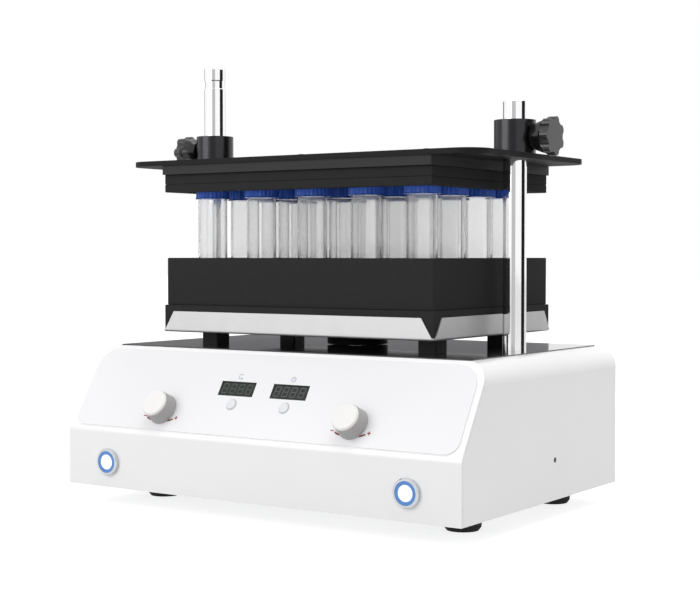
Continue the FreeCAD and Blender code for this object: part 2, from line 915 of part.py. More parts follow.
def make_display_lenses():
    w, h = display_w / 2 - display_gap, display_h / 2 - display_gap
    return group([on_slope(box(x - w, x + w, display_up - h, display_up + h,
                               -front_t, overlay_t - lens_sink)) for x in control_x])


def make_display_modules():
    w, h = display_w / 2 + module_rim, display_h / 2 + module_rim
    return group([on_slope(box(x - w, x + w, display_up - h, display_up + h,
                               board_top, -front_t)) for x in control_x])


def make_encoders():
    shapes = []
    w = encoder_w / 2
    back = -front_t
    for x in dials_x.values():
        can = box(x - w, x + w, dial_up - w, dial_up + w, board_top, back)
        bush = upright(x, dial_up, back, bush_out, bush_r)
        bore = upright(x, dial_up, board_top + 2, bush_out + 1, dial_shaft_r + fit)
        shapes.append(on_slope(can.fuse(bush).cut(bore).removeSplitter()))
    return group(shapes)


def make_dial(x):
    low = overlay_t + dial_gap
    high = low + dial_h
    points = [(dial_cavity_r, low), (dial_base_r, low), (dial_face_r, high - dial_edge_r),
              (dial_face_r - dial_edge_r, high), (0, high), (0, high - 3),
              (dial_shaft_r + fit, high - 3), (dial_shaft_r + fit, low + dial_cavity_h),
              (dial_cavity_r, low + dial_cavity_h)]
    return on_slope(turned(points, x, dial_up))


def make_dial_shaft(x):
    high = overlay_t + dial_gap + dial_h - 3
    return on_slope(upright(x, dial_up, board_top + 2.5, high, dial_shaft_r))


def make_button(x):
    back = -front_t - move_gap
    cap = upright(x, button_up, back, button_out, button_r)
    flange = upright(x, button_up, back - button_flange_t, back, button_flange_r)
    return on_slope(union([cap, flange]))


def make_button_switches():
    w = tact_w / 2
    top = -front_t - move_gap - button_flange_t - button_travel - move_gap
    return group([on_slope(box(x - w, x + w, button_up - w, button_up + w, board_top, top))
                  for x in control_x])


# Ring-light switches

def make_switch_bodies():
    flange = upright(0, 0, 0, bezel_out - bezel_edge, bezel_r)
    rim = Part.makeCone(bezel_r, bezel_r - bezel_edge, bezel_edge, V(0, 0, bezel_out - bezel_edge))
    barrel = upright(0, 0, -barrel_l, 0, barrel_r)
    recess = upright(0, 0, ring_low, bezel_out + 1, ring_out_r + barrel_gap)
    bore = upright(0, 0, switch_back_t - barrel_l, bezel_out + 1, switch_button_r + barrel_gap)
    body = flange.fuse([rim, barrel]).cut([recess, bore]).removeSplitter()
    return group([on_front(body, x, z) for x, z in switch_places().values()])


def make_switch_lights():
    ring = pipe(0, 0, ring_low, ring_low + ring_t, ring_out_r, ring_in_r)
    return group([on_front(ring, x, z) for x, z in switch_places().values()])


def make_switch_button(name):
    x, z = switch_places()[name]
    return on_front(upright(0, 0, switch_button_out - switch_button_l, switch_button_out,
                            switch_button_r), x, z)


def make_switch_nuts():
    shapes = []
    for x, z in switch_places().values():
        nut = pipe(0, 0, -front_t - switch_nut_t, -front_t, switch_nut_r, barrel_r + barrel_gap)
        shapes.append(on_front(nut, x, z))
    return group(shapes)


def make_power_supply():
    low = z_floor + sheet_t
    return box(supply_x - supply_w / 2, supply_x + supply_w / 2, supply_y - supply_d / 2,
               supply_y + supply_d / 2, low, low + supply_h)


def make_parts():
    parts = {
        "top_cover": make_top_cover(),
        "front_panel": make_front_panel(),
        "rear_panel": make_rear_panel(),
        "base_plate": make_base_plate(),
        "deck_panel": make_deck_panel(),
        "control_overlay": make_control_overlay(),
        "rubber_feet": make_feet(),
        "foot_screws": make_foot_screws(),
        "base_screws": make_base_screws(),
        "side_screws": make_side_screws(),
        "chassis_plate": make_chassis_plate(),
        "left_rod": make_left_rod(),
        "right_rod": make_right_rod(),
        "rod_nuts": make_rod_nuts(),
        "side_brackets": make_side_brackets(),
        "glide_posts": make_glide_posts(),
        "drive_motor": make_drive_motor(),
        "motor_standoffs": make_motor_standoffs(),
        "bearing_housing": make_bearing_housing(),
        "main_bearing": make_main_bearing(),
        "drive_shaft": make_drive_shaft(),
        "motor_shaft": make_motor_shaft(),
        "shaft_coupling": make_shaft_coupling(),
        "counterweight": make_counterweight(),
        "drive_hub": make_drive_hub(),
        "tray_bearing": make_tray_bearing(),
        "tray_pan": make_tray_pan(),
        "foam_base": make_foam_base(),
        "foam_rack": make_foam_rack(),
        "foam_pad": make_foam_pad(),
        "pad_frame": make_pad_frame(),
        "top_plate": make_top_plate(),
        "plate_screws": make_plate_screws(),
        "rod_collars": make_rod_collars(),
        "control_board": make_control_board(),
        "display_lenses": make_display_lenses(),
        "display_modules": make_display_modules(),
        "encoders": make_encoders(),
        "button_switches": make_button_switches(),
        "switch_bodies": make_switch_bodies(),
        "switch_lights": make_switch_lights(),
        "switch_nuts": make_switch_nuts(),
        "mains_inlet": make_mains_inlet(),
        "power_supply": make_power_supply(),
    }
    for half, ys in (("front", tube_rows[:rows // 2]), ("rear", tube_rows[rows // 2:])):
        parts[f"{half}_tubes"] = make_tubes(ys)
        parts[f"{half}_caps"] = make_caps(ys)
    for (name, side), x in zip(sides.items(), control_x):
        parts[f"{name}_clamp"] = make_clamp(side)
        parts[f"{name}_dial"] = make_dial(dials_x[name])
        parts[f"{name}_dial_shaft"] = make_dial_shaft(dials_x[name])
        parts[f"{name}_button"] = make_button(x)
        parts[f"{name}_switch_button"] = make_switch_button(name)
    return parts


os.makedirs("parts", exist_ok=True)
for node, shape in make_parts().items():
    shape.exportStep(f"parts/{node}.step")
    print(f"{node}: {len(shape.Solids)} solid(s), {shape.Volume / 1000:.2f} cm3")
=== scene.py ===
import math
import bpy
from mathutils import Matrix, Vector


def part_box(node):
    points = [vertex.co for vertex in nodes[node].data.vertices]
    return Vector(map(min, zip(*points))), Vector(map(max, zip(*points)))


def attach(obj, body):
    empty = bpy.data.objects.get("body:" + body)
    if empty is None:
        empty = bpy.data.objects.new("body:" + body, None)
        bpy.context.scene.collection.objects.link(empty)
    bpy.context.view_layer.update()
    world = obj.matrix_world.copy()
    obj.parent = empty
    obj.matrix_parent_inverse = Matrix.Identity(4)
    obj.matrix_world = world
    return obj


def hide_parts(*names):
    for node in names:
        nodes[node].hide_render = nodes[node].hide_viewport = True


bl_info = {
    "name": "Multi-Tube Vortex Mixer",
    "version": (1, 0, 0),
    "blender": (4, 5, 0),
    "location": "View3D > Sidebar > Mixer",
    "description": "Dresses the mixer's frame with its tubes, foam, marks, finishes and studio",
    "category": "Object",
}

import bmesh
import bpy
from bpy.props import FloatProperty, IntProperty, PointerProperty, StringProperty
from mathutils import Matrix, Vector

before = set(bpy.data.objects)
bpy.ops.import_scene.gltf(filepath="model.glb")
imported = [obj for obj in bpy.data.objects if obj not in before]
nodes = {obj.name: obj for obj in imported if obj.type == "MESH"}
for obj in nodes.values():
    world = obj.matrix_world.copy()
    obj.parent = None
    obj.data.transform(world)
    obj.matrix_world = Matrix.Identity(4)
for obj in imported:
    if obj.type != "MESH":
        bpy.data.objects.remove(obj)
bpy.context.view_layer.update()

MM = 0.001
WELD = 1e-6  # Points of a mesh within this many metres are one point.


# Colour, node and mesh helpers

def linear(code):
    """An sRGB hex colour as the linear colour that a socket takes."""
    parts = [int(code[i:i + 2], 16) / 255 for i in (1, 3, 5)]
    return [*(c / 12.92 if c <= 0.04045 else ((c + 0.055) / 1.055) ** 2.4 for c in parts), 1.0]


def add(tree, kind, inputs=None, **settings):
    """Adds a node, with its settings, and its inputs as values or links."""
    made = tree.nodes.new(kind)
    for name, value in settings.items():
        setattr(made, name, value)
    for name, value in (inputs or {}).items():
        if isinstance(value, bpy.types.NodeSocket):
            tree.links.new(value, made.inputs[name])
        else:
            made.inputs[name].default_value = value
    return made


def emptied(block):
    """The node tree of a material or world, with nothing in it."""
    block.use_nodes = True
    block.node_tree.nodes.clear()
    return block.node_tree


def finish(name, colour, roughness, metallic=0.0, second=None, patch=20.0, grain=0.0, depth=0.0,
           stretch=(1, 1, 1), rough_spread=0.0, **sockets):
    """A finish, clouded from colour to second in patches, with a surface grain. Sizes are in mm."""
    made = bpy.data.materials.new(name)
    tree = emptied(made)
    shader = add(tree, "ShaderNodeBsdfPrincipled",
                 {"Base Color": linear(colour), "Roughness": roughness, "Metallic": metallic})
    for socket, value in sockets.items():
        shader.inputs[socket.replace("_", " ")].default_value = value
    place = add(tree, "ShaderNodeTexCoord").outputs["Object"]
    if second:
        cloud = add(tree, "ShaderNodeTexNoise", {"Vector": place, "Scale": 1 / (patch * MM), "Detail": 3.0})
        mix = add(tree, "ShaderNodeMix", {0: cloud.outputs["Fac"], 6: linear(colour), 7: linear(second)},
                  data_type="RGBA")
        tree.links.new(mix.outputs[2], shader.inputs["Base Color"])
    if grain:
        lie = add(tree, "ShaderNodeMapping", {"Vector": place, "Scale": stretch})
        noise = add(tree, "ShaderNodeTexNoise",
                    {"Vector": lie.outputs["Vector"], "Scale": 1 / (grain * MM), "Detail": 4.0})
        if depth:
            bump = add(tree, "ShaderNodeBump",
                       {"Height": noise.outputs["Fac"], "Strength": 1.0, "Distance": depth * MM})
            tree.links.new(bump.outputs["Normal"], shader.inputs["Normal"])
        if rough_spread:
            spread = add(tree, "ShaderNodeMapRange",
                         {"Value": noise.outputs["Fac"], "To Min": roughness - rough_spread,
                          "To Max": roughness + rough_spread})
            tree.links.new(spread.outputs["Result"], shader.inputs["Roughness"])
    add(tree, "ShaderNodeOutputMaterial", {"Surface": shader.outputs["BSDF"]})
    return made


def wear(name, material):
    """Puts a finish on a CAD node."""
    mesh = nodes[name].data
    mesh.materials.clear()
    mesh.materials.append(material)


def new_object(name, mesh, material=None):
    """A mesh as an object in the scene, with its finish."""
    made = bpy.data.objects.new(name, mesh)
    bpy.context.scene.collection.objects.link(made)
    if material:
        mesh.materials.append(material)
    return made


def mesh_from(name, build, smooth_angle=35):
    """A mesh made by build(bm), with its doubles merged and its faces outwards."""
    bm = bmesh.new()
    build(bm)
    bmesh.ops.remove_doubles(bm, verts=bm.verts, dist=WELD)
    bmesh.ops.recalc_face_normals(bm, faces=bm.faces)
    mesh = bpy.data.meshes.new(name)
    bm.to_mesh(mesh)
    bm.free()
    if smooth_angle:
        mesh.shade_smooth()
        mesh.set_sharp_from_angle(angle=math.radians(smooth_angle))
    return mesh


def turned(bm, points, steps=48, place=Matrix.Identity(4)):
    """Turns (radius, height) points, in mm, about the Z axis. Points on the axis close it."""
    verts = [bm.verts.new((r * MM, 0, z * MM)) for r, z in points]
    edges = [bm.edges.new(pair) for pair in zip(verts, verts[1:])]
    bmesh.ops.spin(bm, geom=verts + edges, cent=(0, 0, 0), axis=(0, 0, 1), steps=steps,
                   angle=2 * math.pi, use_merge=True)
    bmesh.ops.remove_doubles(bm, verts=bm.verts, dist=WELD)
    bmesh.ops.transform(bm, matrix=place, verts=bm.verts)


def plate(bm, outline, low, high, place):
    """A flat shape of (x, y) points, in mm, from low to high."""
    verts = [bm.verts.new(place @ Vector((x * MM, y * MM, low * MM))) for x, y in outline]
    face = bm.faces.new(verts)
    up = place.to_3x3() @ Vector((0, 0, (high - low) * MM))
    made = bmesh.ops.extrude_face_region(bm, geom=[face])
    moved = [v for v in made["geom"] if isinstance(v, bmesh.types.BMVert)]
    bmesh.ops.translate(bm, vec=up, verts=moved)
    if not face.is_valid:
        bm.faces.new(verts)


def bake(obj, tree, values):
    """Runs a node tree on an object with its named inputs set, and keeps the plain mesh that it makes."""
    modifier = obj.modifiers.new("layout", "NODES")
    modifier.node_group = tree
    for item in tree.interface.items_tree:
        if item.in_out == "INPUT" and item.name in values:
            modifier[item.identifier] = values[item.name]
    bpy.context.view_layer.update()
    graph = bpy.context.evaluated_depsgraph_get()
    mesh = bpy.data.meshes.new_from_object(obj.evaluated_get(graph), depsgraph=graph)
    obj.modifiers.clear()
    obj.data = mesh
    return obj


def tree_with(name, sockets):
    """A geometry node tree with named inputs, and its input and output nodes."""
    tree = bpy.data.node_groups.new(name, "GeometryNodeTree")
    tree.interface.new_socket("Geometry", in_out="INPUT", socket_type="NodeSocketGeometry")
    for label, kind in sockets:
        tree.interface.new_socket(label, in_out="INPUT", socket_type=f"NodeSocket{kind}")
    tree.interface.new_socket("Geometry", in_out="OUTPUT", socket_type="NodeSocketGeometry")
    return tree, tree.nodes.new("NodeGroupInput").outputs, tree.nodes.new("NodeGroupOutput").inputs


# Places on the control face, in mm up from the crease

CREASE_H = 56 * MM
SLOPE = math.atan2(80, 49)
DIAL_UP = 26
DISPLAY_UP = 53
BUTTON_UP = 36.6
front_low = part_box("front_panel")[0]
CONTROL = (Matrix.Translation((0, front_low.y, front_low.z + CREASE_H))
           @ Matrix.Rotation(SLOPE, 4, "X"))

# Under side and upper side of what lies on the control face, in mm out from it

BARS = (0.61, 0.68)
# Layers of the painted recess shadow round the display windows.
RECESS_SHADE = (0.605, 0.64)
INK = (0.8, 0.88)
SYMBOL_INK = (0.8, 0.86)


def middle_x(name):
    """The middle of a CAD node along X, in mm."""
    low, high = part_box(name)
    return (low.x + high.x) / 2 / MM


# Settings

class TubeSettings(bpy.types.PropertyGroup):
    columns: IntProperty(name="Columns", description="Tubes along the rack", default=5)
    rows: IntProperty(name="Rows", description="Tubes across the rack", default=4)
    column_pitch: FloatProperty(name="Column Pitch", description="Between tubes along the rack, in mm",
                                default=62.0)
    row_pitch: FloatProperty(name="Row Pitch", description="Between tubes across the rack, in mm",
                             default=52.4)
    radius: FloatProperty(name="Tube Radius", description="Outside of a tube in mm", default=14.5)
    wall: FloatProperty(name="Wall", description="Tube wall in mm", default=1.1)
    hole_radius: FloatProperty(name="Hole Radius", description="Hole in the foam for a tube, in mm",
                               default=14.8)
    # Painted shade: the grey that the tubes' walls take where they are seen edge on.
    painted_edge_shade: StringProperty(name="Painted Edge Shade", description="Grey of a tube's wall seen edge on",
                                default="#4A4A4A")
    ribs: IntProperty(name="Cap Ribs", description="Grip ribs round a cap", default=26)
    rib_depth: FloatProperty(name="Rib Depth", description="Depth of a cap's ribs in mm", default=0.9)
    cap_colour: StringProperty(name="Cap Colour", description="Moulded colour of the caps",
                               default="#2F66D6")


class PanelSettings(bpy.types.PropertyGroup):
    digits: IntProperty(name="Digits", description="Digits on each display", default=4)
    digit_h: FloatProperty(name="Digit Height", description="In mm", default=9.6)
    digit_w: FloatProperty(name="Digit Width", description="In mm", default=5.6)
    digit_pitch: FloatProperty(name="Digit Pitch", description="In mm", default=9.3)
    knurls: IntProperty(name="Dial Knurls", description="Grip ribs round a dial", default=44)
    knurl_depth: FloatProperty(name="Knurl Depth", description="Depth of a dial's ribs in mm", default=0.4)
    grip_radius: FloatProperty(name="Grip Radius", description="Foot of a dial's grip in mm", default=15.5)
    grip_top: FloatProperty(name="Grip Top Radius", description="Top of a dial's grip in mm", default=13.9)
    grip_height: FloatProperty(name="Grip Height", description="Height of a dial's grip in mm",
                               default=13.9)
    grip_out: FloatProperty(name="Grip Stand-off", description="From the control face to the grip in mm",
                            default=1.45)
    mark_colour: StringProperty(name="Mark Colour", description="Print of the dial marks",
                                default="#A8504C")
    symbol_colour: StringProperty(name="Symbol Colour", default="#A9BCD2",
                                  description="Print of the symbols over the displays")
    ring_colour: StringProperty(name="Ring Colour", description="Colour of the lit switch rings",
                                default="#4C7DC0")


class StageSettings(bpy.types.PropertyGroup):
    key: FloatProperty(name="Key Light", description="Watts of the large front softbox", default=20.0)
    top: FloatProperty(name="Top Light", description="Watts of the softbox overhead", default=30.0)
    world: FloatProperty(name="Sky", description="Strength of the even light all round", default=0.65)
    floor: FloatProperty(name="Floor Glow", default=0.8,
                         description="Brightness added to the floor as the camera sees it")
    floor_mirrored: FloatProperty(name="Floor in Mirrors", default=0.4,
                                  description="Brightness added to the floor where metal mirrors it")


# Pieces

class MIXER_OT_housing(bpy.types.Operator):
    """Give the housing, chassis, drive and control pieces their finishes"""
    bl_idname = "mixer.housing"
    bl_label = "Housing and Metalwork"

    def execute(self, context):
        # Baked white enamel on sheet steel: glossy, with a faint orange peel a few mm across.
        enamel = finish("white_enamel", "#F6F6F6", 0.28, second="#F2F2F3", patch=60, grain=2.5,
                        depth=0.004, Coat_Weight=0.35, Coat_Roughness=0.12)
        for name in ("top_cover", "front_panel", "rear_panel"):
            wear(name, enamel)
        # Dark grey gloss coat on the deck: glossy, so that at a low angle it mirrors what stands behind it.
        wear("deck_panel", finish("charcoal_enamel", "#2A2A2C", 0.3, second="#262628", patch=30, grain=1.2,
                                  depth=0.001, Specular_IOR_Level=0.3, Coat_Weight=1.0, Coat_Roughness=0.05))
        # Printed polyester film: smooth and bright, a shade cooler than the enamel.
        wear("control_overlay", finish("polyester_film", "#EEEEF0", 0.22, second="#EBEBED", patch=80,
                                       grain=0.9, depth=0.0015))
        # Zinc plated sheet steel, grey with a faint spangle.
        zinc = finish("zinc_plate", "#A9ABAE", 0.38, 1.0, second="#94979B", patch=6, grain=0.8, depth=0.002)
        for name in ("base_plate", "side_brackets", "motor_standoffs", "counterweight", "encoders"):
            wear(name, zinc)
        # Rolled and folded stainless sheet: satin, drawn lengthways.
        wear("tray_pan", finish("satin_stainless", "#C6C6C6", 0.5, 1.0, second="#BFBFC0", patch=15,
                                grain=0.5, depth=0.003, stretch=(0.03, 0.03, 1), rough_spread=0.05))
        # Ground and hard chromed bar: mirror bright with fine grinding round it.
        chrome = finish("hard_chrome", "#FDFDFD", 0.06, 1.0, second="#F8F8F9", patch=40, grain=0.25,
                        depth=0.0004, stretch=(0.05, 0.05, 1))
        for name in ("left_rod", "right_rod"):
            wear(name, chrome)
        # Turned and blacked steel: dark with a soft metal sheen.
        blacked = finish("blacked_steel", "#3E3E40", 0.2, 0.9, second="#38383A", patch=8, grain=0.3,
                         depth=0.001, stretch=(0.1, 0.1, 1))
        for name in ("rod_collars", "side_screws", "base_screws", "foot_screws", "rod_nuts"):
            wear(name, blacked)
        # Turned aluminium, plain and bright.
        turned_alloy = finish("turned_aluminium", "#B9BABC", 0.3, 1.0, second="#ADAFB2", patch=10, grain=0.3,
                              depth=0.001, stretch=(0.1, 0.1, 1))
        for name in ("chassis_plate", "bearing_housing", "shaft_coupling"):
            wear(name, turned_alloy)
        # Hardened bearing steel, ground and oiled.
        bearing = finish("bearing_steel", "#B4B6BA", 0.18, 1.0, second="#A6A9AE", patch=10, grain=0.2,
                         depth=0.0005)
        for name in ("main_bearing", "tray_bearing", "drive_shaft", "motor_shaft", "left_dial_shaft",
                     "right_dial_shaft"):
            wear(name, bearing)
        # Black anodised aluminium plate: satin black, with a soft sheen.
        anodised = finish("black_anodised", "#1A1A1B", 0.6, second="#171718", patch=25, grain=0.4,
                          depth=0.002, Specular_IOR_Level=0.15)
        for name in ("top_plate", "drive_hub"):
            wear(name, anodised)
        # Textured black moulding, acetal and ABS: dull, with a spark-eroded grain.
        moulding = finish("black_moulding", "#222223", 0.55, second="#1D1D1E", patch=12, grain=0.35,
                          depth=0.012, Specular_IOR_Level=0.3)
        for name in ("pad_frame", "glide_posts", "mains_inlet", "switch_nuts", "power_supply", "drive_motor",
                     "button_switches", "display_modules"):
            wear(name, moulding)
        # Black phenolic knobs: black at the sides, and grey where they mirror the room.
        phenolic = finish("black_phenolic", "#1E1E1F", 0.3, second="#19191A", patch=10, grain=0.5,
                          depth=0.002, Coat_Weight=0.2, Coat_Roughness=0.15)
        for name in ("left_clamp", "right_clamp"):
            wear(name, phenolic)
        # Natural rubber loaded with carbon: black and dull, with a dusty bloom.
        wear("rubber_feet", finish("black_rubber", "#202020", 0.75, second="#2A2A2A", patch=5, grain=0.5,
                                   depth=0.01))
        # Solder mask over a glass fibre board.
        wear("control_board", finish("circuit_board", "#1F5A38", 0.4, second="#1A4D30", patch=4, grain=0.6,
                                     depth=0.004))
        # Smoked acrylic window, polished.
        wear("display_lenses", finish("smoked_acrylic", "#2A2E2B", 0.2, second="#262927", patch=12,
                                      grain=1.5, depth=0.0004, Specular_IOR_Level=0.2))
        # White ABS buttons, satin, a shade greyer than the film round them: partly their own colour and
        # partly painted shade on the domed buttons.
        button = finish("white_abs", "#E2E3E6", 0.35, second="#DCDDE1", patch=4, grain=0.4, depth=0.002)
        for name in ("left_button", "right_button"):
            wear(name, button)
        # Frosted switch caps, white with a trace of blue from the light behind them.
        glow = "#F2F8FD"
        frosted = finish("frosted_cap", glow, 0.4, second="#EEF5FC", patch=4, grain=0.4, depth=0.002,
                         Emission_Color=linear(glow), Emission_Strength=0.3)
        for name in ("left_switch_button", "right_switch_button"):
            wear(name, frosted)
        # Chromed switch bezels, bright but not mirror flat.
        wear("switch_bodies", finish("bezel_chrome", "#D5D7DA", 0.16, 1.0, second="#C6C9CE", patch=5,
                                     grain=0.3, depth=0.0006))
        ring = context.scene.mixer_panel.ring_colour
        # Lit diffuser ring, a frosted blue polycarbonate with light behind it.
        wear("switch_lights", finish("lit_blue_ring", ring, 0.4, second="#5A8ACB", patch=3, grain=0.3,
                                     depth=0.002, Emission_Color=linear(ring), Emission_Strength=0.12))
        # White ABS dials, fine matt grain.
        dial = finish("dial_white_abs", "#EEEDEC", 0.42, second="#E8E7E6", patch=6, grain=0.35, depth=0.004)
        for name in ("left_dial", "right_dial"):
            wear(name, dial)
        return {"FINISHED"}


class MIXER_OT_foam(bpy.types.Operator):
    """Make the cut foam blocks: the base, the rack with its holes, and the pressure pad"""
    bl_idname = "mixer.foam"
    bl_label = "Foam Blocks"

    edge: FloatProperty(name="Edge", description="Softness of a cut edge in mm", default=0.8)
    rim: FloatProperty(name="Pad Rim", description="Wall round the pad's pocket in mm", default=12.0)
    recess: FloatProperty(name="Pad Pocket", description="Depth of the pad's pocket in mm", default=6.0)
    droop: FloatProperty(name="Pad Droop", description="How far the pad's rim hangs down, in mm",
                         default=2.0)

    def slab(self, low, high, holes=(), window=None):
        """A block between two corners with cut holes (x, y, radius), and soft edges."""
        curve = bpy.data.curves.new("foam_outline", "CURVE")
        curve.dimensions = "2D"
        curve.fill_mode = "BOTH"
        middle = (low + high) / 2
        size = high - low
        outlines = []
        for x, y, w, d in [(middle.x, middle.y, size.x / 2, size.y / 2)] + ([window] if window else []):
            outlines.append([(x - w, y - d), (x + w, y - d), (x + w, y + d), (x - w, y + d)])
        steps = 40
        turns = [2 * math.pi * k / steps for k in range(steps)]
        for x, y, r in holes:
            outlines.append([(x + r * math.cos(a), y + r * math.sin(a)) for a in turns])
        for outline in outlines:
            spline = curve.splines.new("POLY")
            spline.points.add(len(outline) - 1)
            spline.use_cyclic_u = True
            for point, corner in zip(spline.points, outline):
                point.co = (*corner, 0, 1)
        edge = self.edge * MM
        curve.offset = -edge
        curve.extrude = size.z / 2 - edge
        curve.bevel_depth = edge
        curve.bevel_resolution = 2
        drawn = bpy.data.objects.new("foam_outline", curve)
        bpy.context.scene.collection.objects.link(drawn)
        bpy.context.view_layer.update()
        graph = bpy.context.evaluated_depsgraph_get()
        mesh = bpy.data.meshes.new_from_object(drawn.evaluated_get(graph), depsgraph=graph)
        mesh.transform(Matrix.Translation((0, 0, middle.z)))
        bpy.data.objects.remove(drawn)
        return mesh

    def block(self, name, meshes, material, body, cad):
        """Joins a block's layers into one piece, in place of the CAD's plain block."""
        def layers(bm):
            for mesh in meshes:
                bm.from_mesh(mesh)

        made = new_object(name, mesh_from(name, layers, 40), material)
        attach(made, body)
        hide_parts(cad)

    def execute(self, context):
        tubes = context.scene.mixer_tubes
        # Closed-cell polyethylene foam, sawn: matt black, with open cells about half a millimetre across.
        foam = finish("polyethylene_foam", "#262626", 0.92, second="#2D2D2D", patch=3, grain=0.55,
                      depth=0.12, Specular_IOR_Level=0.2)
        low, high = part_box("foam_rack")
        centre = (low + high) / 2
        holes = []
        for i in range(tubes.columns):
            for j in range(tubes.rows):
                x = centre.x + (i - (tubes.columns - 1) / 2) * tubes.column_pitch * MM
                y = centre.y + (j - (tubes.rows - 1) / 2) * tubes.row_pitch * MM
                holes.append((x, y, tubes.hole_radius * MM))
        self.block("foam_rack_block", [self.slab(low, high, holes)], foam, "tray", "foam_rack")
        low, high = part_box("foam_base")
        self.block("foam_base_block", [self.slab(low, high)], foam, "tray", "foam_base")
        low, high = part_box("foam_pad")
        centre = (low + high) / 2
        rim = self.rim * MM
        window = (centre.x, centre.y, (high.x - low.x) / 2 - rim, (high.y - low.y) / 2 - rim)
        split = low.z + self.recess * MM
        skirt = Vector((low.x, low.y, low.z - self.droop * MM))
        ring = self.slab(skirt, Vector((high.x, high.y, split)), window=window)
        back = self.slab(Vector((low.x, low.y, split)), high)
        self.block("foam_pad_block", [ring, back], foam, "pressure_plate", "foam_pad")
        return {"FINISHED"}


def rows_of_copies():
    """A node tree that sets out copies of its input in columns and rows about a centre."""
    tree, given, out = tree_with("rows_of_copies", [
        ("Columns", "Int"), ("Rows", "Int"), ("Column Pitch", "Float"), ("Row Pitch", "Float"),
        ("Centre", "Vector"), ("Finish", "Material")])
    spans = []
    for count, pitch in (("Columns", "Column Pitch"), ("Rows", "Row Pitch")):
        less = add(tree, "ShaderNodeMath", {0: given[count], 1: 1.0}, operation="SUBTRACT")
        spans.append(add(tree, "ShaderNodeMath", {0: less.outputs[0], 1: given[pitch]},
                         operation="MULTIPLY").outputs[0])
    grid = add(tree, "GeometryNodeMeshGrid", {"Size X": spans[0], "Size Y": spans[1],
                                              "Vertices X": given["Columns"], "Vertices Y": given["Rows"]})
    moved = add(tree, "GeometryNodeTransform", {"Geometry": grid.outputs["Mesh"],
                                                "Translation": given["Centre"]})
    copies = add(tree, "GeometryNodeInstanceOnPoints", {"Points": moved.outputs["Geometry"],
                                                        "Instance": given["Geometry"]})
    real = add(tree, "GeometryNodeRealizeInstances", {"Geometry": copies.outputs["Instances"]})
    dressed = add(tree, "GeometryNodeSetMaterial", {"Geometry": real.outputs["Geometry"],
                                                    "Material": given["Finish"]})
    tree.links.new(dressed.outputs["Geometry"], out["Geometry"])
    return tree


def grip_ribs():
    """A node tree that makes a ribbed, tapered grip with a chamfered top, standing on z = 0."""
    tree, given, out = tree_with("grip_ribs", [
        ("Ribs", "Int"), ("Radius", "Float"), ("Top Radius", "Float"), ("Height", "Float"),
        ("Depth", "Float"), ("Edge", "Float"), ("Finish", "Material")])
    points = add(tree, "ShaderNodeMath", {0: given["Ribs"], 1: 2.0}, operation="MULTIPLY")
    circle = add(tree, "GeometryNodeMeshCircle", {"Vertices": points.outputs[0], "Radius": given["Radius"]},
                 fill_type="NGON")
    # Every other point of the circle lies in by the rib's depth.
    index = add(tree, "GeometryNodeInputIndex")
    odd = add(tree, "ShaderNodeMath", {0: index.outputs[0], 1: 2.0}, operation="MODULO")
    share = add(tree, "ShaderNodeMath", {0: given["Depth"], 1: given["Radius"]}, operation="DIVIDE")
    inward = add(tree, "ShaderNodeMath", {0: odd.outputs[0], 1: share.outputs[0]}, operation="MULTIPLY")
    keep = add(tree, "ShaderNodeMath", {0: 1.0, 1: inward.outputs[0]}, operation="SUBTRACT")
    spot = add(tree, "GeometryNodeInputPosition")
    ribbed = add(tree, "ShaderNodeVectorMath", {0: spot.outputs[0], "Scale": keep.outputs[0]},
                 operation="SCALE")
    ring = add(tree, "GeometryNodeSetPosition", {"Geometry": circle.outputs["Mesh"],
                                                 "Position": ribbed.outputs[0]})
    # The ring is raised to the top's chamfer and narrowed to the top radius, then raised and narrowed again.
    straight = add(tree, "ShaderNodeMath", {0: given["Height"], 1: given["Edge"]}, operation="SUBTRACT")
    taper = add(tree, "ShaderNodeMath", {0: given["Top Radius"], 1: given["Radius"]}, operation="DIVIDE")
    less = add(tree, "ShaderNodeMath", {0: given["Top Radius"], 1: given["Edge"]}, operation="SUBTRACT")
    chamfer = add(tree, "ShaderNodeMath", {0: less.outputs[0], 1: given["Top Radius"]}, operation="DIVIDE")
    shape = ring.outputs["Geometry"]
    for rise, narrow in ((straight.outputs[0], taper.outputs[0]), (given["Edge"], chamfer.outputs[0])):
        up = add(tree, "ShaderNodeCombineXYZ", {"Z": rise})
        lift = add(tree, "GeometryNodeExtrudeMesh", {"Mesh": shape, "Offset": up.outputs[0],
                                                     "Offset Scale": 1.0, "Individual": False})
        sized = add(tree, "GeometryNodeScaleElements", {"Geometry": lift.outputs["Mesh"],
                                                        "Selection": lift.outputs["Top"], "Scale": narrow})
        shape = sized.outputs["Geometry"]
    under = add(tree, "GeometryNodeFlipFaces", {"Mesh": ring.outputs["Geometry"]})
    whole = add(tree, "GeometryNodeJoinGeometry")
    for part in (under.outputs["Mesh"], shape):
        tree.links.new(part, whole.inputs[0])
    closed = add(tree, "GeometryNodeMergeByDistance", {"Geometry": whole.outputs[0], "Distance": WELD})
    real = add(tree, "GeometryNodeRealizeInstances", {"Geometry": closed.outputs[0]})
    dressed = add(tree, "GeometryNodeSetMaterial", {"Geometry": real.outputs[0],
                                                    "Material": given["Finish"]})
    tree.links.new(dressed.outputs[0], out["Geometry"])
    return tree


